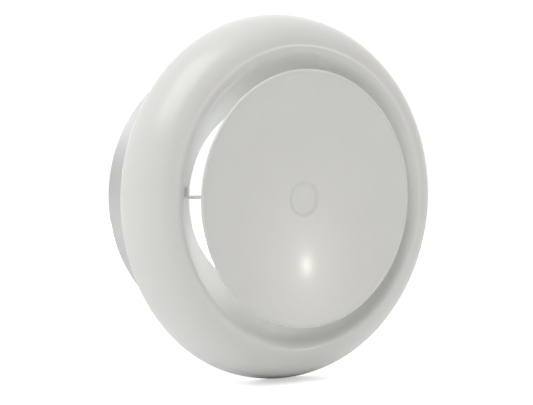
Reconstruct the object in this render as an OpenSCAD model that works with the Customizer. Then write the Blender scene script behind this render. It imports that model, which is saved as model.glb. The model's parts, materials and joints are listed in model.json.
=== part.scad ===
// Round metal air valve with a dished disc on a screwed spindle, held in a duct collar by a
// bayonet. The valve's axis is Y. The room is on the -Y side, the duct on the +Y side, and
// the origin is the middle of the plane that lies on the wall or ceiling.

/* [Duct collar] */
// Nominal bore of the duct that slides over the spigot
duct_d = 160; // [125:1:200]
// Gap between spigot and duct, measured on the radius
duct_gap = 0.5; // [0.2:0.1:1.5]
// Length of the spigot behind the ceiling plane
spigot_len = 53; // [42:1:80]
// Thickness of the collar's galvanised sheet
collar_t = 0.8; // [0.6:0.1:1.2]
// Number of screw holes in the collar's flange
flange_holes = 4; // [3:1:8]
// Diameter of a screw hole in the flange
flange_hole_d = 4.5; // [3.5:0.1:6]

/* [Rim and bellmouth] */
// How far the rim reaches outside the spigot
rim_cover = 21.5; // [17:0.5:30]
// Height of the rim's crest in front of the ceiling
rim_h = 24.5; // [20:0.5:32]
// Radius of the crest less the radius of the spigot
crest_out = 3.5; // [0:0.5:5]
// How far the inner side of the rim rolls in from its crest
roll_in = 9; // [7:0.5:11]
// Height of the knee where the roll meets the cone
knee_h = 17; // [13:0.5:19]
// How far the cone and the neck reach in from the knee
cone_in = 22.5; // [18:0.5:27]
// Angle between the cone's wall and the axis
cone_a = 37; // [32:0.5:45]
// Thickness of the painted sheet
sheet_t = 1; // [0.8:0.1:1.5]
// Width of the foam gasket behind the rim
gasket_w = 5; // [3:0.5:7]
// Depth of the foam gasket
gasket_h = 5; // [3:0.5:7]

/* [Sleeve and bayonet] */
// Gap between sleeve and collar, measured on the radius
sleeve_gap = 2.4; // [1.5:0.1:3.5]
// Length of the sleeve behind the ceiling plane
sleeve_len = 30; // [20:1:38]
// Number of bayonet studs
stud_count = 3; // [3:1:4]
// Diameter of a bayonet stud
stud_d = 5; // [4:0.5:6]
// Distance of the studs behind the ceiling plane
stud_back = 9; // [7:0.5:12]
// Clearance round a stud in its slot
slot_clear = 0.5; // [0.3:0.1:1]
// Turn that frees the valve from its collar, in degrees
unlock_a = 22; // [15:1:30]

/* [Bridge] */
// Thickness of the bridge arms
arm_t = 1.6; // [1.2:0.1:2.5]
// Width of an arm where it meets the cone
arm_w = 8; // [6:0.5:10]
// Height of the foot that is bent up along the cone
foot_h = 5; // [3:0.5:8]
// Outer diameter of the threaded bush
bush_d = 14; // [12:0.5:18]
// Length of the threaded bush
bush_len = 12; // [10:0.5:16]
// Distance of the bush's front face behind the ceiling plane
bush_back = 1; // [0:0.5:3]

/* [Disc and spindle] */
// Radial gap between the disc's edge and the knee
disc_gap = 4.1; // [2:0.1:7]
// How far the disc's edge stands in front of the rim's crest
disc_proud = 4.2; // [2:0.1:6]
// Depth of the dish
dish_h = 6; // [3:0.5:9]
// Thickness of the disc's sheet
disc_t = 0.8; // [0.6:0.1:1.2]
// Radius of the rolled edge
hem_r = 0.9; // [0.7:0.1:1.3]
// Diameter of the pressed flat in the middle of the disc
flat_d = 19; // [16:1:24]
// Depth of the pressed flat
flat_h = 1; // [0.5:0.1:1.5]
// Thread diameter of the spindle
spindle_d = 8; // [6:1:10]
// Pitch of the spindle's thread
pitch = 1.25; // [1:0.25:1.5]
// Turns from the rest position to fully open
open_turns = 7; // [4:1:8]
// Running clearance round the spindle, measured on the radius
run_clear = 0.05; // [0.02:0.01:0.1]
// Length of the boss behind the disc
boss_len = 5; // [4:0.5:6]

/* [Lock nut] */
// Width of the lock nut across its flats
nut_af = 13; // [10:0.5:17]
// Height of the lock nut
nut_h = 6.5; // [5:0.5:8]
// Outer diameter of the spring washer
washer_d = 14.5; // [12:0.5:18]
// Thickness of the spring washer
washer_t = 2; // [1.2:0.1:2.5]

/* [Hidden] */
$fn = 96;

// Every round part is drawn round a local +Z that points into the room, as (radius, height).

// Duct collar
spigot_r = duct_d / 2 - duct_gap;
collar_in_r = spigot_r - collar_t;
rim_r = spigot_r + rim_cover;
flange_gap = 1.5;
flange_r = rim_r - sheet_t - gasket_w - flange_gap;
flange_hole_pcr = (spigot_r + flange_r) / 2;
flange_hole_a = 45;

// Rim, knee, cone and neck
crest_r = spigot_r + crest_out;
knee_r = crest_r - roll_in;
neck_r = knee_r - cone_in;
cone_dir = [-sin(cone_a), -cos(cone_a)];
neck_blend = 2;
neck_lip = 1.5;
cone_len = (cone_in - neck_blend) / sin(cone_a);
knee = [knee_r, knee_h];
cone_end = knee + cone_len * cone_dir;
neck_drop = 6;
neck_pull = 2.2;
neck_top = [neck_r, cone_end.y - neck_drop];
neck_end = neck_top - [0, neck_lip];

function bezier(a, b, c, d, n) =
    [for (i = [1:n]) let (t = i / n, s = 1 - t)
        s * s * s * a + 3 * s * s * t * b + 3 * s * t * t * c + t * t * t * d];

rim_steps = 20;
roll_steps = 12;
cone_steps = 6;
blend_steps = 8;
crest_pull = 5;
knee_pull = 4;
rim_curve = [for (i = [0:rim_steps]) let (a = 90 * i / rim_steps)
    [crest_r + (rim_r - crest_r) * cos(a), rim_h * sin(a)]];
roll_curve = bezier(
    [crest_r, rim_h],
    [crest_r - crest_pull, rim_h],
    knee - knee_pull * cone_dir,
    knee,
    roll_steps
);
cone_curve = [for (i = [1:cone_steps]) knee + i / cone_steps * cone_len * cone_dir];
neck_curve = bezier(
    cone_end,
    cone_end + neck_pull * cone_dir,
    neck_top + [0, neck_pull],
    neck_top,
    blend_steps
);
face_curve = concat(rim_curve, roll_curve, cone_curve, neck_curve, [neck_end]);

// The back of the sheet: each point of the face moved back along its own normal.
function backed(p, t) = [for (i = [0:len(p) - 1])
    i == 0 ? p[0] - [t, 0] :
    i == len(p) - 1 ? p[i] + [t, 0] :
    let (d = p[i + 1] - p[i - 1]) p[i] + t * [-d.y, d.x] / norm(d)];
function reversed(p) = [for (i = [len(p) - 1:-1:0]) p[i]];
back_curve = backed(face_curve, sheet_t);

// The sleeve's skirt lies on the back of the cone, between two of the cone's own points.
skirt_steps = 3;
skirt_first = rim_steps + roll_steps + 1;
skirt = [for (i = [skirt_first:skirt_first + skirt_steps]) back_curve[i]];
cone_back = [cos(cone_a), -sin(cone_a)];
sleeve_r = collar_in_r - sleeve_gap;
sleeve_t = 0.8;

// Gasket: against the back of the rim, up to its own height.
gasket_curve = [for (p = back_curve) if (p.x > crest_r && p.y <= gasket_h) p];
gasket_in_r = rim_r - sheet_t - gasket_w;

// Bayonet: the studs fill the spigot's wall but for a hair, and the notches let them pass.
stud_a0 = 90;
stud_tip_gap = 0.1;
stud_tip_r = spigot_r - stud_tip_gap;
notch_gap = 0.8;
notch_r = stud_tip_r + notch_gap;
stud_neck_d = 3.2;
stud_head_over = 0.5;
stud_head_r = stud_d / 2 + stud_head_over;
stud_head_t = 1;
stud_seat = sqrt(pow(sleeve_r - sleeve_t, 2) - pow(stud_head_r, 2));
stud_mid_r = (sleeve_r + stud_tip_r) / 2;
slot_w = stud_d + 2 * slot_clear;
slot_half_a = asin(slot_w / 2 / spigot_r);
cut_over = 1;

// Bridge
function cone_r(h) = knee_r - (knee_h - h) * tan(cone_a);
arm_drop = 6;
arm_top = knee_h - arm_drop;
arm_low = arm_top - arm_w;
bush_top = -bush_back;
hub_front = 0.5;
hub_rear = 1.5;
arm_hub_top = bush_top - hub_front;
arm_hub_low = bush_top - bush_len + hub_rear;
arm_back = arm_t / cos(cone_a);
bore_r = spindle_d / 2 + run_clear;

// Disc, boss and spindle
disc_r = knee_r - disc_gap;
disc_h = rim_h + disc_proud;
flat_r = flat_d / 2;
flat_slope = 1.2;
hem_steps = 16;
hem_mid = [disc_r - hem_r, disc_h - hem_r];
hem_a = asin(disc_t / 2 / hem_r);
hem_curve = [for (i = [1:hem_steps - 1]) let (a = 180 - hem_a - (360 - 2 * hem_a) * i / hem_steps)
    hem_mid + hem_r * [cos(a), sin(a)]];
dish_r = hem_mid.x - hem_r * cos(hem_a);
dish_steps = 14;
edge_z = hem_mid.y + disc_t / 2;
function dish_z(r) = edge_z - dish_h * (1 - pow(r / dish_r, 2));
flat_z = dish_z(flat_r) - flat_h;
dish_curve = [for (i = [0:dish_steps]) let (r = flat_r + (dish_r - flat_r) * i / dish_steps)
    [r, dish_z(r)]];
disc_face = concat([[0, flat_z], [flat_r - flat_slope, flat_z]], dish_curve);
boss_top = flat_z - disc_t;
boss_inset = 0.2;
boss_flange_r = flat_r - flat_slope - boss_inset;
boss_flange_t = 1.2;
boss_r = 6.5;
boss_floor = 1;
spindle_top = boss_top - boss_floor - run_clear;
spindle_spare = 2;
washer_top = bush_top - bush_len;
nut_top = washer_top - washer_t;
spindle_low = nut_top - nut_h - open_turns * pitch - spindle_spare;
spindle_chamfer = 1;
washer_gap = 0.3;
washer_bore_r = spindle_d / 2 + washer_gap;
washer_slit = 1;

paint = "white";
galvanised = "lightsteelblue";
zinc = "silver";
foam = "dimgray";

module into_room() {
    rotate([90, 0, 0]) children();
}

module ring_of(outline) {
    rotate_extrude() polygon(outline);
}

// Galvanised collar: a spigot for the duct, a flange for the ceiling and the bayonet slots.
module mounting_collar() {
    color(galvanised) into_room() difference() {
        ring_of([
            [collar_in_r, -spigot_len], [spigot_r, -spigot_len], [spigot_r, 0],
            [flange_r, 0], [flange_r, collar_t], [collar_in_r, collar_t]
        ]);
        for (i = [0:stud_count - 1]) rotate([0, 0, stud_a0 + i * 360 / stud_count]) bayonet_slot();
        for (i = [0:flange_holes - 1]) rotate([0, 0, flange_hole_a + i * 360 / flange_holes])
            translate([flange_hole_pcr, 0, -cut_over])
                cylinder(d = flange_hole_d, h = collar_t + 2 * cut_over);
    }
}

// An L-shaped slot: the stud comes in along the axis and turns back by unlock_a to lock.
module bayonet_slot() {
    rotate([0, 0, -slot_half_a]) rotate_extrude(angle = unlock_a + 2 * slot_half_a)
        translate([collar_in_r - cut_over, -stud_back - slot_w / 2])
            square([collar_t + 2 * cut_over, slot_w]);
    rotate([0, 0, unlock_a]) translate([collar_in_r - cut_over, -slot_w / 2, -stud_back - slot_w / 2])
        cube([notch_r - collar_in_r + cut_over, slot_w, stud_back + slot_w / 2 + collar_t + cut_over]);
}

// Rim, roll, cone and neck pressed from one sheet.
module valve_ring() {
    color(paint) into_room() ring_of(concat(face_curve, reversed(back_curve)));
}

module rim_gasket() {
    last = gasket_curve[len(gasket_curve) - 1];
    color(foam) into_room() ring_of(concat(gasket_curve, [[gasket_in_r, last.y], [gasket_in_r, 0]]));
}

// Sleeve with a conical skirt, welded to the back of the cone.
module valve_sleeve() {
    first = skirt[0];
    skirt_back = [for (p = reversed(skirt)) p + sleeve_t * cone_back];
    color(galvanised) into_room() difference() {
        ring_of(concat(
            skirt_back,
            [[sleeve_r - sleeve_t, first.y - sleeve_t], [sleeve_r - sleeve_t, -sleeve_len],
             [sleeve_r, -sleeve_len], [sleeve_r, first.y]],
            skirt
        ));
        each_stud() cylinder(d = stud_neck_d, h = sleeve_r);
    }
}

// Each stud's own frame: +Z points out of the sleeve, from the plane that the head's rim seats on.
module each_stud() {
    for (i = [0:stud_count - 1]) rotate([0, 0, stud_a0 + i * 360 / stud_count])
        translate([stud_seat, 0, -stud_back]) rotate([0, 90, 0]) children();
}

module bayonet_studs() {
    color(zinc) into_room() each_stud() {
        translate([0, 0, -stud_head_t]) cylinder(r = stud_head_r, h = stud_head_t);
        translate([0, 0, -stud_head_t]) cylinder(d = stud_neck_d, h = stud_mid_r - stud_seat + stud_head_t);
        translate([0, 0, sleeve_r - stud_seat]) cylinder(d = stud_d, h = stud_tip_r - sleeve_r);
    }
}

// One arm of the bridge: a blade on edge, with a foot bent up along the cone.
module arm() {
    foot = [
        [cone_r(arm_top) - arm_back, arm_top], [cone_r(arm_top) + cut_over, arm_top],
        [cone_r(arm_low) + cut_over, arm_low], [cone_r(arm_low) - arm_back, arm_low]
    ];
    blade = concat(
        [[0, arm_hub_top], [bush_d / 2, arm_hub_top]], foot, [[bush_d / 2, arm_hub_low], [0, arm_hub_low]]
    );
    difference() {
        intersection() {
            rotate([90, 0, 0]) translate([0, 0, -foot_h]) union() {
                linear_extrude(foot_h + arm_t / 2) polygon(foot);
                translate([0, 0, foot_h - arm_t / 2]) linear_extrude(arm_t) polygon(blade);
            }
            translate([0, 0, arm_hub_low - cut_over]) cylinder(
                r1 = cone_r(arm_hub_low - cut_over), r2 = knee_r,
                h = knee_h - arm_hub_low + cut_over
            );
        }
        translate([0, 0, arm_hub_low - cut_over])
            cylinder(d = bush_d, h = arm_hub_top - arm_hub_low + 2 * cut_over);
    }
}

module right_arm() {
    color(paint) into_room() arm();
}

module left_arm() {
    color(paint) into_room() mirror([1, 0, 0]) arm();
}

module hub_bush() {
    color(zinc) into_room() translate([0, 0, bush_top - bush_len]) difference() {
        cylinder(d = bush_d, h = bush_len);
        translate([0, 0, -cut_over]) cylinder(r = bore_r, h = bush_len + 2 * cut_over);
    }
}

module spindle() {
    color(zinc) into_room() translate([0, 0, spindle_low]) {
        cylinder(r1 = spindle_d / 2 - spindle_chamfer, r2 = spindle_d / 2, h = spindle_chamfer);
        translate([0, 0, spindle_chamfer])
            cylinder(d = spindle_d, h = spindle_top - spindle_low - spindle_chamfer);
    }
}

// Dished disc with a rolled edge and a pressed flat in the middle.
module disc_plate() {
    disc_back = [for (p = reversed(disc_face)) p - [0, disc_t]];
    color(paint) into_room() ring_of(concat(disc_face, hem_curve, disc_back));
}

// Boss welded behind the flat: it carries the front end of the spindle.
module disc_boss() {
    color(zinc) into_room() difference() {
        union() {
            translate([0, 0, boss_top - boss_flange_t]) cylinder(r = boss_flange_r, h = boss_flange_t);
            translate([0, 0, boss_top - boss_len]) cylinder(r = boss_r, h = boss_len);
        }
        translate([0, 0, boss_top - boss_len - cut_over])
            cylinder(r = bore_r, h = boss_len - boss_floor + cut_over);
    }
}

module lock_washer() {
    color(zinc) into_room() translate([0, 0, washer_top - washer_t]) difference() {
        cylinder(d = washer_d, h = washer_t);
        translate([0, 0, -cut_over]) cylinder(r = washer_bore_r, h = washer_t + 2 * cut_over);
        translate([0, -washer_slit / 2, -cut_over])
            cube([washer_d, washer_slit, washer_t + 2 * cut_over]);
    }
}

module lock_nut() {
    color(zinc) into_room() translate([0, 0, nut_top - nut_h]) difference() {
        cylinder(d = nut_af / cos(30), h = nut_h, $fn = 6);
        translate([0, 0, -cut_over]) cylinder(r = bore_r, h = nut_h + 2 * cut_over);
    }
}

mounting_collar();
valve_ring();
rim_gasket();
valve_sleeve();
bayonet_studs();
left_arm();
right_arm();
hub_bush();
spindle();
disc_plate();
disc_boss();
lock_washer();
lock_nut();
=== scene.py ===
"""Round metal air valve: turned and pressed sheet pieces, a screwed spindle, paint, zinc and foam."""

import json
import math

import bmesh
import bpy
from mathutils import Matrix, Vector


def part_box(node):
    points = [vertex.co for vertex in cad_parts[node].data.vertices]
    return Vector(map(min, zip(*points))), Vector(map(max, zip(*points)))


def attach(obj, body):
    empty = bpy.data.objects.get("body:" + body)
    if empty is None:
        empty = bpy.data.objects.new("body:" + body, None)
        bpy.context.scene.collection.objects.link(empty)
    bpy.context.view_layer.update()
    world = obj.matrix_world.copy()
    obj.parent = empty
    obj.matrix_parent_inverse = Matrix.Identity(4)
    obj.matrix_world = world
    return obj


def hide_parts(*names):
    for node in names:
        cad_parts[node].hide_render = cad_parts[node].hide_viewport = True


bl_info = {
    "name": "Round Air Valve",
    "version": (1, 0, 0),
    "blender": (4, 5, 0),
    "location": "3D View > Sidebar > Air Valve",
    "description": "Builds a round metal air valve with a dished disc around its fixed frame",
    "category": "Object",
}

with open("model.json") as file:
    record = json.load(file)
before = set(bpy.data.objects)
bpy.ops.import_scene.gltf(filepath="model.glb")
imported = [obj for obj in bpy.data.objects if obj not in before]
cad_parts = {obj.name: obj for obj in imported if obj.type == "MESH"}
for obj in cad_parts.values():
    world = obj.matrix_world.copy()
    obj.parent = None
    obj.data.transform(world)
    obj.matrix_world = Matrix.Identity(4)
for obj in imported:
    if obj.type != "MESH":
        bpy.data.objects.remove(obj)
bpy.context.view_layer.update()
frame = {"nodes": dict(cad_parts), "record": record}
MM = 0.001
FULL_TURN = 2 * math.pi


def node_box(node):
    """Lowest and highest corner of a frame node, in metres."""
    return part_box(node)


def outer_radius(node):
    """Greatest reach of a frame node along X from the valve's axis."""
    return node_box(node)[1].x


def front(node):
    """How far a frame node reaches in front of the ceiling plane, into the room."""
    return -node_box(node)[0].y


def rear(node):
    """How far a frame node's rear end lies in front of the ceiling plane: below zero behind it."""
    return -node_box(node)[1].y


def spigot_radius():
    """The spigot's radius, as the frame's record states it for the duct."""
    mounts = {mount["name"]: mount for mount in frame["record"]["mounts"]}
    return mounts["spigot"]["dims"]["r_mm"] * MM


# ---------------------------------------------------------------- sizes and colours


def length(label, text, value):
    """A length property, in metres."""
    return bpy.props.FloatProperty(
        name=label, description=text, default=value, unit="LENGTH", precision=5
    )


def angle(label, text, degrees):
    """An angle property, given in degrees."""
    return bpy.props.FloatProperty(
        name=label, description=text, default=math.radians(degrees), unit="ROTATION"
    )


def colour(label, text, value):
    """A linear colour property."""
    return bpy.props.FloatVectorProperty(
        name=label, description=text, default=value, size=3, subtype="COLOR", min=0, max=1
    )


class AirValveSizes(bpy.types.PropertyGroup):
    """Sizes of the pressed and turned pieces."""

    spigot_r: length("Spigot radius", "Outer radius of the spigot", spigot_radius())
    sheet_t: length("Painted sheet", "Thickness of the ring's sheet", 1 * MM)
    collar_t: length("Galvanised sheet", "Thickness of collar and sleeve", 0.8 * MM)
    crest_out: length("Crest", "Radius of the crest less the spigot's", 3.5 * MM)
    roll_in: length("Roll", "How far the rim rolls in from its crest", 9 * MM)
    knee_h: length("Knee", "Height of the knee between roll and cone", 17 * MM)
    cone_in: length("Cone", "How far cone and neck reach in from the knee", 22.5 * MM)
    cone_a: angle("Cone angle", "Angle between the cone's wall and the axis", 37)
    dish_h: length("Dish", "Depth of the disc's dish", 6 * MM)
    disc_t: length("Disc sheet", "Thickness of the disc's sheet", 0.8 * MM)
    hem_r: length("Hem", "Radius of the disc's rolled edge", 0.9 * MM)
    flat_r: length("Flat", "Radius of the flat pressed in the disc", 9.5 * MM)
    flat_h: length("Flat depth", "Depth of the pressed flat", 1 * MM)
    arm_t: length("Arm sheet", "Thickness of the bridge arms", 1.6 * MM)
    pitch: length("Pitch", "Pitch of the spindle's thread", 1.25 * MM)


class AirValveFinish(bpy.types.PropertyGroup):
    """Colours of the four finishes."""

    paint: colour("Powder coat", "Gloss white powder coat", (0.80, 0.795, 0.765))
    galvanised: colour("Galvanised", "Galvanised sheet", (0.62, 0.615, 0.61))
    zinc: colour("Zinc plate", "Bright zinc plate", (0.70, 0.71, 0.73))
    foam: colour("Foam", "Closed-cell foam", (0.16, 0.16, 0.17))


def sizes():
    """The scene's sizes."""
    return bpy.context.scene.air_valve_sizes


def finish():
    """The scene's colours."""
    return bpy.context.scene.air_valve_finish


# ---------------------------------------------------------------- outlines, as (radius, out)


def bezier(a, b, c, d, steps):
    """Points of a cubic curve after its start."""
    points = []
    for i in range(1, steps + 1):
        t = i / steps
        s = 1 - t
        points.append(s**3 * a + 3 * s * s * t * b + 3 * s * t * t * c + t**3 * d)
    return points


def arc(centre, radius, start, end, steps):
    """Points of an arc from start to end, in degrees."""
    points = []
    for i in range(steps + 1):
        a = math.radians(start + (end - start) * i / steps)
        points.append(centre + radius * Vector((math.cos(a), math.sin(a))))
    return points


def backed(points, thickness, first, last):
    """The outline moved back along its normal: first and last say where its two ends go."""
    moved = [points[0] + thickness * Vector(first)]
    for before, here, after in zip(points, points[1:], points[2:]):
        along = (after - before).normalized()
        moved.append(here + thickness * Vector((-along.y, along.x)))
    moved.append(points[-1] + thickness * Vector(last))
    return moved


def cone_direction():
    """Unit vector down the cone, towards the duct."""
    a = sizes().cone_a
    return Vector((-math.sin(a), -math.cos(a)))


def knee():
    """The point where the roll meets the cone."""
    s = sizes()
    return Vector((s.spigot_r + s.crest_out - s.roll_in, s.knee_h))


def cone_radius(out):
    """Radius of the cone's face at a height."""
    return knee().x - (knee().y - out) * math.tan(sizes().cone_a)


CREST_PULL = 5 * MM
KNEE_PULL = 4 * MM
NECK_BLEND = 2 * MM
NECK_PULL = 2.2 * MM
NECK_DROP = 6 * MM
NECK_LIP = 1.5 * MM


def ring_face():
    """The ring's painted face, from the rim's edge over the crest and down to the neck."""
    s = sizes()
    crest = Vector((s.spigot_r + s.crest_out, front("valve_ring")))
    reach = outer_radius("valve_ring") - crest.x
    steps = 36
    rim = []
    for i in range(steps + 1):
        a = math.radians(90 * i / steps)
        rim.append(Vector((crest.x + reach * math.cos(a), crest.y * math.sin(a))))
    down = cone_direction()
    roll = bezier(crest, crest - Vector((CREST_PULL, 0)), knee() - KNEE_PULL * down, knee(), 24)
    cone_length = (s.cone_in - NECK_BLEND) / math.sin(s.cone_a)
    cone_end = knee() + cone_length * down
    cone = [knee() + share * cone_length * down for share in (0.33, 0.67, 1)]
    neck_top = Vector((knee().x - s.cone_in, cone_end.y - NECK_DROP))
    neck = bezier(
        cone_end, cone_end + NECK_PULL * down, neck_top + Vector((0, NECK_PULL)), neck_top, 16
    )
    return rim + roll + cone + neck + [neck_top - Vector((0, NECK_LIP))]


# ---------------------------------------------------------------- meshes


def turn(bm, outline, closed=True, steps=240, sweep=FULL_TURN, rise=0.0):
    """Spins an outline of (radius, out) points about the valve's axis. rise moves each step."""
    verts = [bm.verts.new((p.x, -p.y, 0)) for p in outline]
    edges = [bm.edges.new(pair) for pair in zip(verts, verts[1:])]
    if closed:
        edges.append(bm.edges.new((verts[-1], verts[0])))
    full = abs(sweep - FULL_TURN) < 1e-6 and rise == 0
    bmesh.ops.spin(
        bm,
        geom=verts + edges,
        cent=(0, 0, 0),
        axis=(0, 1, 0),
        dvec=(0, rise / steps, 0),
        angle=sweep,
        steps=steps,
        use_merge=full,
        use_duplicate=False,
    )
    bmesh.ops.remove_doubles(bm, verts=bm.verts, dist=1e-6)


def mark_sharp(bm, degrees):
    """Smooth faces with sharp edges where the surface turns by more than this."""
    for face in bm.faces:
        face.smooth = True
    for edge in bm.edges:
        if len(edge.link_faces) == 2:
            edge.smooth = edge.calc_face_angle(0) < math.radians(degrees)


def piece(bm, name, body, material, nodes, sharp=32, outward=True):
    """Makes a mesh the finished piece that stands for these frame nodes."""
    if outward:
        bmesh.ops.recalc_face_normals(bm, faces=bm.faces)
    mark_sharp(bm, sharp)
    mesh = bpy.data.meshes.new(name)
    bm.to_mesh(mesh)
    bm.free()
    mesh.materials.append(material)
    made = bpy.data.objects.new(name, mesh)
    bpy.context.scene.collection.objects.link(made)
    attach(made, body)
    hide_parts(*nodes)
    return made


def softened(made, width, limit=50, segments=2):
    """Rounds a piece's sharp edges."""
    bevel = made.modifiers.new("Softened edges", "BEVEL")
    bevel.width = width
    bevel.segments = segments
    bevel.limit_method = "ANGLE"
    bevel.angle_limit = math.radians(limit)
    bevel.harden_normals = False
    return made


# ---------------------------------------------------------------- shader sockets


class Socket:
    """A shader value: sums, products and the like add the Math nodes that they need."""

    def __init__(self, shader, link):
        self.shader = shader
        self.link = link

    def _maths(self, operation, *values):
        return self.shader.node("ShaderNodeMath", {"operation": operation}, dict(enumerate(values)))

    def __add__(self, other):
        return self._maths("ADD", self, other)

    def __sub__(self, other):
        return self._maths("SUBTRACT", self, other)

    def __mul__(self, other):
        return self._maths("MULTIPLY", self, other)

    __radd__ = __add__
    __rmul__ = __mul__

    def __rsub__(self, other):
        return self._maths("SUBTRACT", other, self)


class Shader:
    """A material under construction."""

    def __init__(self, name):
        self.material = bpy.data.materials.new(name)
        self.material.use_nodes = True
        self.tree = self.material.node_tree
        self.surface = self.tree.nodes["Principled BSDF"]
        self.place = self.node("ShaderNodeTexCoord", {}, {}, "Object")

    def node(self, kind, settings, values, output=0):
        """Adds a node: its settings first, then the values or links of its sockets."""
        added = self.tree.nodes.new(kind)
        for key, value in settings.items():
            if key == "stops":
                self._set_stops(added.color_ramp, value)
            else:
                setattr(added, key, value)
        for key, value in values.items():
            self.feed(added.inputs[key], value)
        return Socket(self, added.outputs[output])

    @staticmethod
    def _set_stops(ramp, stops):
        while len(ramp.elements) < len(stops):
            ramp.elements.new(1)
        for element, (position, value) in zip(ramp.elements, stops):
            element.position = position
            element.color = (value, value, value, 1) if isinstance(value, (int, float)) else value

    def feed(self, target, value):
        """Sets a socket, or links it."""
        if isinstance(value, Socket):
            self.tree.links.new(value.link, target)
        elif hasattr(value, "__len__") and len(value) == 3 and len(target.default_value) == 4:
            target.default_value = (*value, 1)
        else:
            target.default_value = value

    def noise(self, scale, detail=3, roughness=0.5, at=None):
        """Noise from 0 to 1 over the piece; scale is in cycles a metre."""
        values = {"Vector": at or self.place, "Scale": scale, "Detail": detail, "Roughness": roughness}
        return self.node("ShaderNodeTexNoise", {"noise_dimensions": "3D"}, values)

    def cells(self, scale, output="Color", feature="F1", at=None):
        """Voronoi cells over the piece."""
        values = {"Vector": at or self.place, "Scale": scale}
        return self.node("ShaderNodeTexVoronoi", {"feature": feature}, values, output)

    def ramp(self, value, stops):
        """A value sent through a colour ramp."""
        return self.node("ShaderNodeValToRGB", {"stops": stops}, {"Fac": value})

    def blend(self, factor, one, other):
        """A mix of two colours."""
        return self.node(
            "ShaderNodeMix", {"data_type": "RGBA"}, {"Factor": factor, 6: one, 7: other}, 2
        )

    def bumped(self, height, strength, distance, under=None):
        """A bump from a height field."""
        values = {"Height": height, "Strength": strength, "Distance": distance}
        if under:
            values["Normal"] = under
        return self.node("ShaderNodeBump", {}, values)

    def finished(self, **values):
        """Feeds the surface's sockets, named with underscores, and returns the material."""
        for key, value in values.items():
            self.feed(self.surface.inputs[key.replace("_", " ")], value)
        return self.material


def shade(rgb, factor):
    """A colour made lighter or darker."""
    return tuple(min(1.0, channel * factor) for channel in rgb)


def powder_coat():
    """Gloss white powder coat: a fine orange peel under a clear gloss, with faint mottling."""
    s = Shader("White powder coat")
    base = finish().paint
    mottle = s.noise(38, 4, 0.6)
    speck = s.ramp(s.cells(900, "Distance"), [(0.0, 1), (0.035, 0)])
    rare = s.ramp(s.noise(130, 1), [(0.66, 0), (0.7, 1)])
    dust = speck * rare
    tint = s.blend(s.ramp(mottle, [(0.3, 0), (0.7, 1)]), shade(base, 0.985), shade(base, 1.01))
    peel = s.noise(620, 2, 0.45)
    waves = s.noise(95, 2, 0.4)
    bump = s.bumped(peel, 0.10, 0.00012)
    bump = s.bumped(waves, 0.10, 0.0006, bump)
    return s.finished(
        Base_Color=s.blend(dust * 0.35, tint, shade(base, 0.72)),
        Roughness=0.26 + 0.06 * mottle,
        Normal=bump,
        Coat_Weight=0.05,
        Coat_Roughness=0.1,
        IOR=1.5,
    )


def galvanised_sheet():
    """Hot-dip galvanised sheet: soft spangles, fine rolling grain and a dull patina."""
    s = Shader("Galvanised sheet")
    base = finish().galvanised
    warp = s.node(
        "ShaderNodeVectorMath",
        {"operation": "ADD"},
        {0: s.place, 1: s.node("ShaderNodeTexNoise", {}, {"Vector": s.place, "Scale": 60.0}, "Color")},
    )
    spangle = s.cells(150, "Color", "F1", warp)
    grey = s.node("ShaderNodeRGBToBW", {}, {"Color": spangle})
    patina = s.noise(24, 5, 0.6)
    grain = s.noise(1500, 2, 0.5)
    colours = s.blend(grey, shade(base, 0.86), shade(base, 1.1))
    return s.finished(
        Base_Color=s.blend(s.ramp(patina, [(0.35, 0), (0.75, 1)]), colours, shade(base, 0.93)),
        Metallic=0.75,
        Roughness=0.34 + 0.16 * grey + 0.10 * patina,
        Normal=s.bumped(grain, 0.08, 0.00005, s.bumped(grey, 0.06, 0.0001)),
    )


def zinc_plate():
    """Bright zinc plate over machined steel: tool rings, a faint blue and yellow bloom."""
    s = Shader("Zinc plate")
    base = finish().zinc
    rings = s.node(
        "ShaderNodeTexWave",
        {"wave_type": "RINGS", "rings_direction": "Y", "wave_profile": "SIN"},
        {"Vector": s.place, "Scale": 520.0, "Distortion": 0.6, "Detail": 1.0},
    )
    bloom = s.noise(170, 3, 0.5)
    wear = s.noise(700, 3, 0.6)
    cool = (base[0] * 0.95, base[1] * 0.99, base[2] * 1.05)
    warm = (base[0] * 1.06, base[1] * 1.02, base[2] * 0.92)
    return s.finished(
        Base_Color=s.blend(s.ramp(bloom, [(0.35, 0), (0.65, 1)]), cool, warm),
        Metallic=1.0,
        Roughness=0.22 + 0.14 * wear,
        Normal=s.bumped(rings, 0.10, 0.00003),
    )


def sealing_foam():
    """Closed-cell foam: matt, full of fine pores, each pore darkened with painted shade."""
    s = Shader("Sealing foam")
    base = finish().foam
    pores = s.cells(1500, "Distance")
    # Painted shade: each pore's hollow is darkened in the base colour, and the same pattern gives the
    # pores' bump.
    pore_shade_and_depth = s.ramp(pores, [(0.0, 0), (0.45, 1)])
    uneven = s.noise(300, 3, 0.6)
    return s.finished(
        # Painted shade: the pore hollows take the darker colour, the rest a random uneven tone.
        Base_Color=s.blend(pore_shade_and_depth, shade(base, 0.55), s.blend(uneven, base, shade(base, 1.3))),
        Roughness=0.92,
        Normal=s.bumped(pore_shade_and_depth, 0.55, 0.0003),
    )


FINISHES = {
    "white_powder_coat": powder_coat,
    "galvanised_sheet": galvanised_sheet,
    "zinc_plate": zinc_plate,
    "grey_foam": sealing_foam,
}
_made = {}


def material(slot):
    """The material of a slot, made once."""
    if slot not in _made:
        _made[slot] = FINISHES[slot]()
    return _made[slot]


# ---------------------------------------------------------------- pieces


class AirValveOperator:
    """What every operator of this add-on shares."""

    bl_options = {"REGISTER", "UNDO"}

    def execute(self, context):
        self.make()
        return {"FINISHED"}


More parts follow.
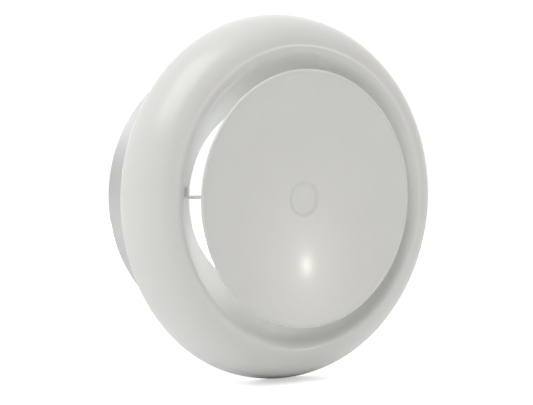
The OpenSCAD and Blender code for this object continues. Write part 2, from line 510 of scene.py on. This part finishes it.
class OBJECT_OT_valve_ring(AirValveOperator, bpy.types.Operator):
    """Rim, roll, cone and neck pressed from one sheet"""

    bl_idname = "air_valve.ring"
    bl_label = "Valve ring"

    def make(self):
        s = sizes()
        face = ring_face()
        back = backed(face, s.sheet_t, (-1, 0), (1, 0))
        bm = bmesh.new()
        turn(bm, face + back[::-1], steps=288)
        made = piece(bm, "ring", "valve_housing",
                     material("white_powder_coat"), ["valve_ring"])
        softened(made, 0.25 * MM)


class OBJECT_OT_valve_disc(AirValveOperator, bpy.types.Operator):
    """Dished disc with a rolled edge and a flat pressed into its middle"""

    bl_idname = "air_valve.disc"
    bl_label = "Disc"

    def make(self):
        s = sizes()
        hem = Vector((outer_radius("disc_plate") - s.hem_r, front("disc_plate") - s.hem_r))
        half = math.degrees(math.asin(s.disc_t / 2 / s.hem_r))
        rolled = arc(hem, s.hem_r, 180 - half, half - 180, 28)
        dish_r = rolled[0].x
        edge = rolled[0].y

        def dish(r):
            """Height of the dish's face, with the flat's soft edge let in."""
            low = edge - s.dish_h * (1 - (s.flat_r / dish_r) ** 2) - s.flat_h
            full = edge - s.dish_h * (1 - (r / dish_r) ** 2)
            spread = 1.5 * MM
            t = min(1, max(0, (r - s.flat_r + 1.1 * spread) / (1.6 * spread)))
            t = t * t * (3 - 2 * t)
            return (1 - t) * low + t * full

        radii = [0, 3 * MM, 6 * MM]
        radii += [s.flat_r + (i / 6 - 1.3) * 1.6 * MM for i in range(14)]
        first = radii[-1]
        steps = 30
        radii += [first + (dish_r - first) * i / steps for i in range(1, steps)]
        face = [Vector((r, dish(r))) for r in radii]
        back = [p - Vector((0, s.disc_t)) for p in reversed(face)]
        bm = bmesh.new()
        turn(bm, face + rolled + back, closed=False, steps=288)
        piece(bm, "disc", "disc", material("white_powder_coat"),
              ["disc_plate"])


class OBJECT_OT_valve_sleeve(AirValveOperator, bpy.types.Operator):
    """Sleeve with a conical skirt that lies on the back of the ring's cone"""

    bl_idname = "air_valve.sleeve"
    bl_label = "Sleeve"

    def make(self):
        s = sizes()
        t = s.collar_t
        away = Vector((math.cos(s.cone_a), -math.sin(s.cone_a)))
        r = outer_radius("valve_sleeve")
        top = front("valve_sleeve")
        end = rear("valve_sleeve")
        bend = 2.2 * MM
        seat = Vector((cone_radius(top), top)) + s.sheet_t * away
        skirt = 12 * MM
        skirt_low = seat + skirt * cone_direction()
        inner_r = r - t
        round_mid = Vector((r - bend, top - bend))
        outer = [Vector((r, end)), Vector((r, top - bend))]
        outer += arc(round_mid, bend, 0, 90, 8)[1:]
        inner = arc(round_mid, bend - t, 90, 0, 8)
        outline = outer + [seat, skirt_low, skirt_low + t * away, seat + t * away + Vector((t, -t))]
        outline += inner + [Vector((inner_r, end))]
        bm = bmesh.new()
        turn(bm, outline, steps=240)
        made = piece(bm, "sleeve", "valve_housing",
                     material("galvanised_sheet"), ["valve_sleeve"])
        softened(made, 0.15 * MM)


class OBJECT_OT_valve_gasket(AirValveOperator, bpy.types.Operator):
    """Foam ring behind the rim's edge, which seals on the ceiling"""

    bl_idname = "air_valve.gasket"
    bl_label = "Gasket"

    def make(self):
        s = sizes()
        back = backed(ring_face(), s.sheet_t, (-1, 0), (1, 0))
        height = front("rim_gasket")
        outside = [p for p in back[:40] if p.y <= height]
        inner_r = outer_radius("rim_gasket") - 5 * MM
        soft = 0.8 * MM
        top = arc(Vector((inner_r + soft, outside[-1].y - soft)), soft, 90, 180, 5)
        low = arc(Vector((inner_r + soft, soft)), soft, 180, 270, 5)
        bm = bmesh.new()
        turn(bm, outside + top + low, steps=240)
        piece(bm, "gasket", "valve_housing", material("grey_foam"), ["rim_gasket"],
              sharp=50)


class OBJECT_OT_valve_collar(AirValveOperator, bpy.types.Operator):
    """Galvanised collar: a spigot for the duct, a flange with screw holes, bayonet slots"""

    bl_idname = "air_valve.collar"
    bl_label = "Duct collar"

    def make(self):
        bm = bmesh.new()
        bm.from_mesh(frame["nodes"]["mounting_collar"].data)
        bmesh.ops.remove_doubles(bm, verts=bm.verts, dist=1e-6)
        piece(bm, "collar", "duct_collar", material("galvanised_sheet"),
              ["mounting_collar"], outward=False)


class OBJECT_OT_valve_studs(AirValveOperator, bpy.types.Operator):
    """Three shouldered studs riveted into the sleeve"""

    bl_idname = "air_valve.studs"
    bl_label = "Bayonet studs"

    def make(self):
        s = sizes()
        low, high = node_box("bayonet_studs")
        tip = high.z
        back = (low.y + high.y) / 2
        sleeve_r = outer_radius("valve_sleeve")
        inside = sleeve_r - s.collar_t
        head_r = 3 * MM
        neck_r = 1.6 * MM
        stud_r = 2.5 * MM
        chamfer = 0.4 * MM
        head_t = 1 * MM
        dome = [math.radians(90 - 15 * i) for i in range(7)]
        outline = [
            Vector((head_r * math.cos(a), inside - 0.05 * MM - head_t * math.sin(a))) for a in dome
        ] + [
            Vector((head_r, inside)), Vector((neck_r, inside)),
            Vector((neck_r, sleeve_r)), Vector((stud_r, sleeve_r)),
            Vector((stud_r, tip - chamfer)), Vector((stud_r - chamfer, tip)), Vector((0, tip)),
        ]
        bm = bmesh.new()
        turn(bm, outline, closed=False, steps=48)
        upright = Matrix.Rotation(math.radians(-90), 4, "X")
        bmesh.ops.transform(bm, matrix=upright, verts=bm.verts)
        count = 3
        first = list(bm.verts) + list(bm.edges) + list(bm.faces)
        bmesh.ops.translate(bm, vec=(0, back, 0), verts=bm.verts)
        for i in range(1, count):
            copy = bmesh.ops.duplicate(bm, geom=first)["geom"]
            verts = [v for v in copy if isinstance(v, bmesh.types.BMVert)]
            bmesh.ops.rotate(bm, cent=(0, 0, 0), verts=verts,
                             matrix=Matrix.Rotation(FULL_TURN * i / count, 3, "Y"))
        piece(bm, "studs", "valve_housing", material("zinc_plate"),
              ["bayonet_studs"])


class OBJECT_OT_valve_arms(AirValveOperator, bpy.types.Operator):
    """Two bridge arms: a blade on edge, bent up where it meets the cone"""

    bl_idname = "air_valve.arms"
    bl_label = "Bridge arms"

    def make(self):
        for name, node, side in (("arm_right", "right_arm", 1), ("arm_left", "left_arm", -1)):
            self.arm(name, node, side)

    def arm(self, name, node, side):
        s = sizes()
        low, high = node_box(node)
        half = s.arm_t / 2
        foot_h = high.z
        hub_r = outer_radius("hub_bush")
        top, bottom = -low.y, -high.y
        hub_height = 11.5 * MM
        foot_height = 8 * MM
        hub_top = rear("hub_bush") + hub_height
        cone_low = top - foot_height
        bend = 1.6 * MM
        bm = bmesh.new()
        edges = []
        for hub_out, foot_out in ((bottom, cone_low), (hub_top, top)):
            wall = cone_radius(foot_out) - half * 1.25
            path = [(hub_r - 0.3 * MM, 0, hub_out), (wall - bend, 0, foot_out)]
            for i in range(1, 9):
                a = math.radians(90 * i / 8)
                path.append((wall - bend + bend * math.sin(a), bend - bend * math.cos(a), foot_out))
            for i in range(1, 4):
                z = bend + (foot_h - bend) * i / 3
                path.append((wall - z * z / 2 / wall, z, foot_out))
            verts = [bm.verts.new((side * x, -out, z)) for x, z, out in path]
            edges += [bm.edges.new(pair) for pair in zip(verts, verts[1:])]
        bmesh.ops.bridge_loops(bm, edges=edges)
        bmesh.ops.recalc_face_normals(bm, faces=bm.faces)
        made = piece(bm, name, "valve_housing",
                     material("white_powder_coat"), [node], outward=False)
        wall = made.modifiers.new("Sheet", "SOLIDIFY")
        wall.thickness = s.arm_t
        wall.offset = 0
        softened(made, 0.3 * MM)


class OBJECT_OT_valve_bush(AirValveOperator, bpy.types.Operator):
    """Threaded bush between the two arms, which carries the spindle"""

    bl_idname = "air_valve.bush"
    bl_label = "Hub bush"

    def make(self):
        r = outer_radius("hub_bush")
        bore = outer_radius("spindle") + 0.05 * MM
        top, end = front("hub_bush"), rear("hub_bush")
        edge = 0.8 * MM
        lead = 0.6 * MM
        outline = [
            Vector((bore, top - lead)), Vector((bore + lead, top)), Vector((r - edge, top)),
            Vector((r, top - edge)), Vector((r, end + edge)), Vector((r - edge, end)),
            Vector((bore + lead, end)), Vector((bore, end + lead)),
        ]
        bm = bmesh.new()
        turn(bm, outline, steps=96)
        made = piece(bm, "bush", "valve_housing", material("zinc_plate"),
                     ["hub_bush"])
        softened(made, 0.12 * MM, 30)


class OBJECT_OT_valve_spindle(AirValveOperator, bpy.types.Operator):
    """Spindle with its rolled thread"""

    bl_idname = "air_valve.spindle"
    bl_label = "Spindle"

    def make(self):
        s = sizes()
        crest = outer_radius("spindle")
        depth = 0.61 * s.pitch
        top, end = front("spindle"), rear("spindle")
        turns = math.ceil((top - end) / s.pitch) + 2
        shares = ((0, 0), (0.06, 0), (0.44, 1), (0.56, 1), (0.94, 0), (1, 0))
        outline = [
            Vector((crest - depth * (1 - up), end - s.pitch + s.pitch * along))
            for along, up in shares
        ]
        bm = bmesh.new()
        per_turn = 40
        turn(bm, outline, closed=False, steps=per_turn * turns,
             sweep=FULL_TURN * turns, rise=-s.pitch * turns)
        chamfer = 1 * MM
        for height, normal in ((end, 1), (top, -1)):
            everything = list(bm.verts) + list(bm.edges) + list(bm.faces)
            cut = bmesh.ops.bisect_plane(
                bm, geom=everything, plane_co=(0, -height, 0), plane_no=(0, normal, 0),
                clear_outer=True,
            )["geom_cut"]
            rim = [e for e in cut if isinstance(e, bmesh.types.BMEdge)]
            bmesh.ops.contextual_create(bm, geom=rim)
        for v in bm.verts:
            limit = crest - chamfer + max(0, -v.co.y - end)
            r = math.hypot(v.co.x, v.co.z)
            if r > limit:
                v.co.x *= limit / r
                v.co.z *= limit / r
        piece(bm, "spindle_thread", "spindle_rod", material("zinc_plate"),
              ["spindle"], sharp=35)


class OBJECT_OT_valve_boss(AirValveOperator, bpy.types.Operator):
    """Boss welded behind the disc's flat"""

    bl_idname = "air_valve.boss"
    bl_label = "Disc boss"

    def make(self):
        flange_r = outer_radius("disc_boss")
        top, end = front("disc_boss"), rear("disc_boss")
        r = 6.5 * MM
        bore = outer_radius("spindle") + 0.05 * MM
        flange_t = 1.2 * MM
        fillet = 0.7 * MM
        edge = 0.5 * MM
        floor = 1 * MM
        outline = [Vector((0, top)), Vector((flange_r, top)), Vector((flange_r, top - flange_t))]
        fillet_mid = Vector((r + fillet, top - flange_t - fillet))
        outline += arc(fillet_mid, fillet, 90, 180, 5)
        outline += [
            Vector((r, end + edge)), Vector((r - edge, end)), Vector((bore + edge, end)),
            Vector((bore, end + edge)), Vector((bore, top - floor)), Vector((0, top - floor)),
        ]
        bm = bmesh.new()
        turn(bm, outline, closed=False, steps=96)
        piece(bm, "boss", "disc", material("zinc_plate"), ["disc_boss"])


class OBJECT_OT_valve_washer(AirValveOperator, bpy.types.Operator):
    """Split spring washer under the lock nut"""

    bl_idname = "air_valve.washer"
    bl_label = "Lock washer"

    def make(self):
        r = outer_radius("lock_washer")
        inner = outer_radius("spindle") + 0.3 * MM
        top, end = front("lock_washer"), rear("lock_washer")
        split = math.asin(0.5 * MM / r)
        spring = 0.35 * MM
        edge = 0.25 * MM
        low = end + spring
        outline = [
            Vector((inner + edge, top)), Vector((r - edge, top)), Vector((r, top - edge)),
            Vector((r, low + edge)), Vector((r - edge, low)), Vector((inner + edge, low)),
            Vector((inner, low + edge)), Vector((inner, top - edge)),
        ]
        bm = bmesh.new()
        turn(bm, outline, steps=90, sweep=FULL_TURN - 2 * split, rise=spring)
        bmesh.ops.rotate(bm, cent=(0, 0, 0), verts=bm.verts, matrix=Matrix.Rotation(split, 3, "Y"))
        bmesh.ops.holes_fill(bm, edges=bm.edges)
        piece(bm, "washer", "washer", material("zinc_plate"), ["lock_washer"])


class OBJECT_OT_valve_nut(AirValveOperator, bpy.types.Operator):
    """Hexagon lock nut with chamfered corners"""

    bl_idname = "air_valve.nut"
    bl_label = "Lock nut"

    def make(self):
        low, high = node_box("lock_nut")
        flat = high.z
        bore = outer_radius("spindle") + 0.05 * MM
        top, end = front("lock_nut"), rear("lock_nut")
        lead = 0.6 * MM
        crown = 0.95 * flat
        slope = math.tan(math.radians(30))
        outline = [
            Vector((bore, top - lead)), Vector((bore + lead, top)), Vector((crown, top)),
            Vector((flat, top)), Vector((flat, end)), Vector((crown, end)),
            Vector((bore + lead, end)), Vector((bore, end + lead)),
        ]
        bm = bmesh.new()
        turn(bm, outline, steps=96)
        for v in bm.verts:
            r = math.hypot(v.co.x, v.co.z)
            if r < flat - 1e-5:
                continue
            sixth = math.radians(60)
            a = math.atan2(v.co.z, v.co.x) % sixth - sixth / 2
            reach = flat / math.cos(a)
            v.co.x *= reach / r
            v.co.z *= reach / r
            cut = (reach - crown) * slope
            v.co.y += cut if v.co.y < -(top + end) / 2 else -cut
        piece(bm, "nut", "nut", material("zinc_plate"), ["lock_nut"], sharp=24)


# ---------------------------------------------------------------- stage, lights and camera

VIEW_TURN = -36.29
VIEW_TILT = 1.51
VIEW_ROLL = 1.42
VIEW_PAN = 0.659
VIEW_NOD = -0.269
VIEW_DISTANCE = 0.6656
LENS = 80.52
SENSOR = 36.0


def place_camera():
    """A camera that looks at the middle of the ceiling plane from the left of the valve."""
    turn_a = math.radians(VIEW_TURN)
    tilt = math.radians(VIEW_TILT)
    back = Vector((
        math.sin(turn_a) * math.cos(tilt), -math.cos(turn_a) * math.cos(tilt), math.sin(tilt)
    ))
    right = Vector((math.cos(turn_a), math.sin(turn_a), 0))
    up = back.cross(right)
    away = VIEW_DISTANCE * back
    axes = Matrix((right, up, back)).transposed()
    pan = Matrix.Rotation(math.radians(VIEW_PAN), 3, "Y")
    nod = Matrix.Rotation(math.radians(VIEW_NOD), 3, "X")
    roll = Matrix.Rotation(math.radians(VIEW_ROLL), 3, "Z")
    camera = bpy.data.cameras.new("Camera")
    camera.sensor_width = SENSOR
    camera.lens = LENS
    camera.clip_start = 0.01
    placed = bpy.data.objects.new("Camera", camera)
    placed.matrix_world = Matrix.Translation(away) @ (axes @ pan @ nod @ roll).to_4x4()
    bpy.context.scene.collection.objects.link(placed)
    bpy.context.scene.camera = placed


def lamp(name, direction, distance, size, power, tint=(1, 1, 1)):
    """A square soft light that faces the valve from a direction."""
    light = bpy.data.lights.new(name, "AREA")
    light.size = size
    light.energy = power
    light.color = tint
    placed = bpy.data.objects.new(name, light)
    away = Vector(direction).normalized()
    placed.location = distance * away
    placed.rotation_euler = away.to_track_quat("Z", "Y").to_euler()
    bpy.context.scene.collection.objects.link(placed)


FLOOR_LIFT = 0.5


def pale_floor_material():
    """Pale studio floor with a faint mottle, lifted to white where the camera sees it."""
    s = Shader("Pale floor")
    tone = s.noise(3, 2)
    s.finished(Base_Color=s.blend(tone, (0.88, 0.88, 0.88), (0.90, 0.90, 0.90)), Roughness=0.9)
    seen = s.node("ShaderNodeLightPath", {}, {}, "Is Camera Ray")
    lift = s.node("ShaderNodeEmission", {}, {"Color": (1, 1, 1), "Strength": FLOOR_LIFT * seen})
    plain = Socket(s, s.surface.outputs[0])
    both = s.node("ShaderNodeAddShader", {}, {0: plain, 1: lift})
    s.tree.links.new(both.link, s.tree.nodes["Material Output"].inputs["Surface"])
    return s.material


SKY_EDGE = -0.7
SKY_FRONT = 0.1
SKY_BACK = 1.15
BACK = (0.59, 0.81, 0.0)
WHITE = 1.05


def studio_world():
    """A white studio: soft walls that are brighter behind the valve, plain white to the camera."""
    world = bpy.data.worlds.new("Studio")
    world.use_nodes = True
    tree = world.node_tree
    soft = tree.nodes["Background"]
    soft.inputs["Color"].default_value = (1, 1, 1, 1)
    white = tree.nodes.new("ShaderNodeBackground")
    white.inputs["Color"].default_value = (1, 1, 1, 1)
    white.inputs["Strength"].default_value = WHITE
    place = tree.nodes.new("ShaderNodeTexCoord")
    along = tree.nodes.new("ShaderNodeVectorMath")
    along.operation = "DOT_PRODUCT"
    along.inputs[1].default_value = BACK
    level = tree.nodes.new("ShaderNodeMapRange")
    limits = {"From Min": SKY_EDGE, "From Max": 1, "To Min": SKY_FRONT, "To Max": SKY_BACK}
    for socket, value in limits.items():
        level.inputs[socket].default_value = value
    seen = tree.nodes.new("ShaderNodeLightPath")
    mix = tree.nodes.new("ShaderNodeMixShader")
    for output, target in (
        (place.outputs["Generated"], along.inputs[0]),
        (along.outputs["Value"], level.inputs["Value"]),
        (level.outputs["Result"], soft.inputs["Strength"]),
        (seen.outputs["Is Camera Ray"], mix.inputs["Fac"]),
        (soft.outputs["Background"], mix.inputs[1]),
        (white.outputs["Background"], mix.inputs[2]),
        (mix.outputs["Shader"], tree.nodes["World Output"].inputs["Surface"]),
    ):
        tree.links.new(output, target)
    return world


class SCENE_OT_valve_stage(AirValveOperator, bpy.types.Operator):
    """Pale floor, soft studio light and the camera"""

    bl_idname = "air_valve.stage"
    bl_label = "Stage"

    def make(self):
        scene = bpy.context.scene
        scene.view_settings.view_transform = "Standard"
        bm = bmesh.new()
        bmesh.ops.create_grid(bm, x_segments=1, y_segments=1, size=20)
        bmesh.ops.translate(bm, vec=(0, 0, -outer_radius("valve_ring")), verts=bm.verts)
        mesh = bpy.data.meshes.new("floor")
        bm.to_mesh(mesh)
        bm.free()
        mesh.materials.append(pale_floor_material())
        floor = bpy.data.objects.new("floor", mesh)
        scene.collection.objects.link(floor)
        scene.world = studio_world()
        lamp("Key", (-0.50, -0.20, 0.84), 2.0, 1.6, 25)
        lamp("Spot", (0.599, -0.793, 0.058), 5.0, 0.06, 13, (1, 0.96, 0.86))
        lamp("Back", (0.15, 0.98, 0.10), 1.6, 1.0, 30, (0.90, 0.97, 1))
        place_camera()


# ---------------------------------------------------------------- the add-on

PIECES = (
    OBJECT_OT_valve_ring,
    OBJECT_OT_valve_disc,
    OBJECT_OT_valve_sleeve,
    OBJECT_OT_valve_gasket,
    OBJECT_OT_valve_collar,
    OBJECT_OT_valve_studs,
    OBJECT_OT_valve_arms,
    OBJECT_OT_valve_bush,
    OBJECT_OT_valve_spindle,
    OBJECT_OT_valve_boss,
    OBJECT_OT_valve_washer,
    OBJECT_OT_valve_nut,
)


class VIEW3D_PT_air_valve(bpy.types.Panel):
    """Sizes, colours and the operators of the air valve"""

    bl_label = "Air Valve"
    bl_space_type = "VIEW_3D"
    bl_region_type = "UI"
    bl_category = "Air Valve"

    def draw(self, context):
        layout = self.layout
        for group in (context.scene.air_valve_sizes, context.scene.air_valve_finish):
            box = layout.box()
            for name in group.__annotations__:
                box.prop(group, name)
        for operator in (*PIECES, SCENE_OT_valve_stage):
            layout.operator(operator.bl_idname)


CLASSES = (AirValveSizes, AirValveFinish, *PIECES, SCENE_OT_valve_stage, VIEW3D_PT_air_valve)


def register():
    for cls in CLASSES:
        bpy.utils.register_class(cls)
    bpy.types.Scene.air_valve_sizes = bpy.props.PointerProperty(type=AirValveSizes)
    bpy.types.Scene.air_valve_finish = bpy.props.PointerProperty(type=AirValveFinish)


def unregister():
    del bpy.types.Scene.air_valve_finish
    del bpy.types.Scene.air_valve_sizes
    for cls in reversed(CLASSES):
        bpy.utils.unregister_class(cls)


def main():
    register()
    bpy.ops.air_valve.ring()
    bpy.ops.air_valve.disc()
    bpy.ops.air_valve.sleeve()
    bpy.ops.air_valve.gasket()
    bpy.ops.air_valve.collar()
    bpy.ops.air_valve.studs()
    bpy.ops.air_valve.arms()
    bpy.ops.air_valve.bush()
    bpy.ops.air_valve.spindle()
    bpy.ops.air_valve.boss()
    bpy.ops.air_valve.washer()
    bpy.ops.air_valve.nut()
    bpy.ops.air_valve.stage()


if __name__ == "__main__":
    main()
